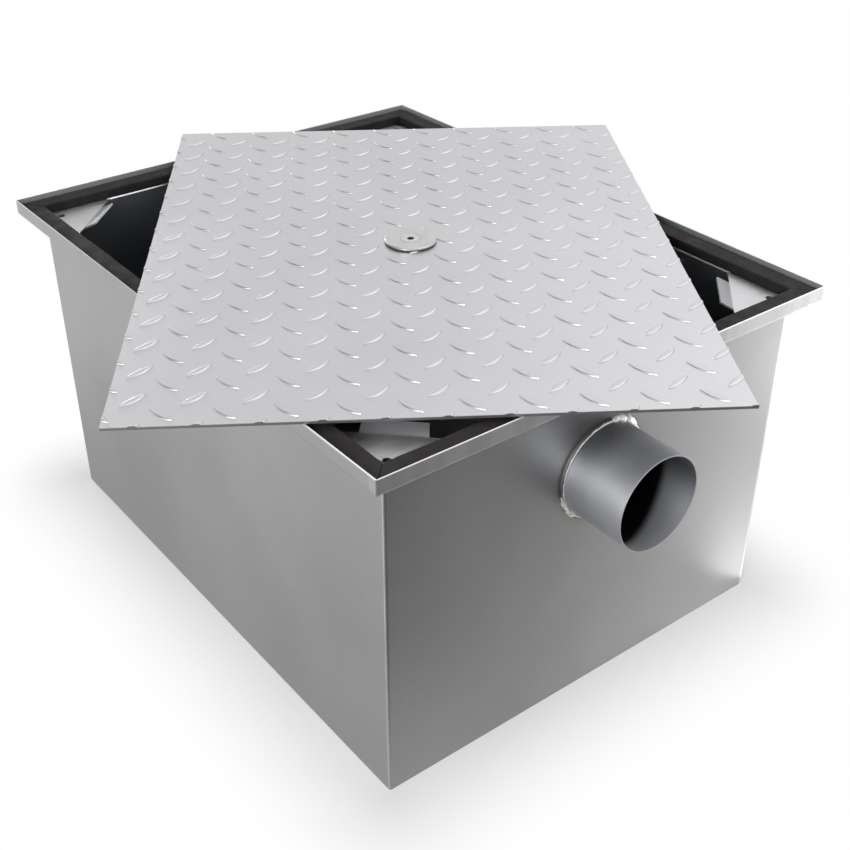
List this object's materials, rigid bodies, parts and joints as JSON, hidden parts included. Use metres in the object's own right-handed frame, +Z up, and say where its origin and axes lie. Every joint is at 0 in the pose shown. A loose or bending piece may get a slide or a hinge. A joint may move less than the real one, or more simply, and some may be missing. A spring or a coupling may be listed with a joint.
{
  "type": "grease trap",
  "caption": "Welded sheet steel grease trap with pipe spigots, a gasketed folded rim, corner gussets, lift-out baffles and a loose tread plate lid lying askew on the rim.",
  "frame": {"origin": "middle of the tank's underside, on the surface that it stands on", "axes": "+Z up, +Y along the tank's length from the inlet end to the outlet end, +X across its width"},
  "size_m": [0.933, 0.9786, 0.4302],
  "materials": {
    "tank_sheet": "brushed sheet steel, ground at the corner welds",
    "spigot_pipe": "satin steel pipe with a bright weld bead",
    "gusset_plate": "pale satin sheet steel",
    "gasket_foam": "black closed cell foam",
    "inner_sheet": "dull sheet steel",
    "tread_plate": "matte tread plate with raised lozenges",
    "lid_disc": "turned satin steel",
    "seal_rubber": "black rubber",
    "screw_steel": "plain steel fastener"
  },
  "bodies": {
    "tank": {"floor_plate": "tank_sheet", "side_panel_left": "tank_sheet", "side_panel_right": "tank_sheet", "end_panel_inlet": "tank_sheet", "end_panel_outlet": "tank_sheet", "inlet_spigot": "spigot_pipe", "outlet_spigot": "spigot_pipe", "gusset_inlet_left": "gusset_plate", "gusset_inlet_right": "gusset_plate", "gusset_outlet_left": "gusset_plate", "gusset_outlet_right": "gusset_plate", "gasket_left": "gasket_foam", "gasket_right": "gasket_foam", "gasket_inlet": "gasket_foam", "gasket_outlet": "gasket_foam", "baffle_guide_inlet_left": "inner_sheet", "baffle_guide_inlet_right": "inner_sheet", "baffle_guide_outlet_left": "inner_sheet", "baffle_guide_outlet_right": "inner_sheet", "inlet_baffle": "inner_sheet", "outlet_baffle": "inner_sheet", "lid_crossbar": "inner_sheet", "crossbar_nut": "screw_steel", "lid_plate": "tread_plate", "lid_disc": "lid_disc", "lid_seal": "seal_rubber"},
    "captive_screw": {"lid_screw": "screw_steel", "screw_clip": "screw_steel"}
  },
  "joints": [
    {"name": "lid_screw_turn", "type": "hinge", "parent": "tank", "child": "captive_screw", "pos_m": [0.0105, -0.0215, 0.423], "axis": [0, 0, 1], "continuous": true}
  ]
}
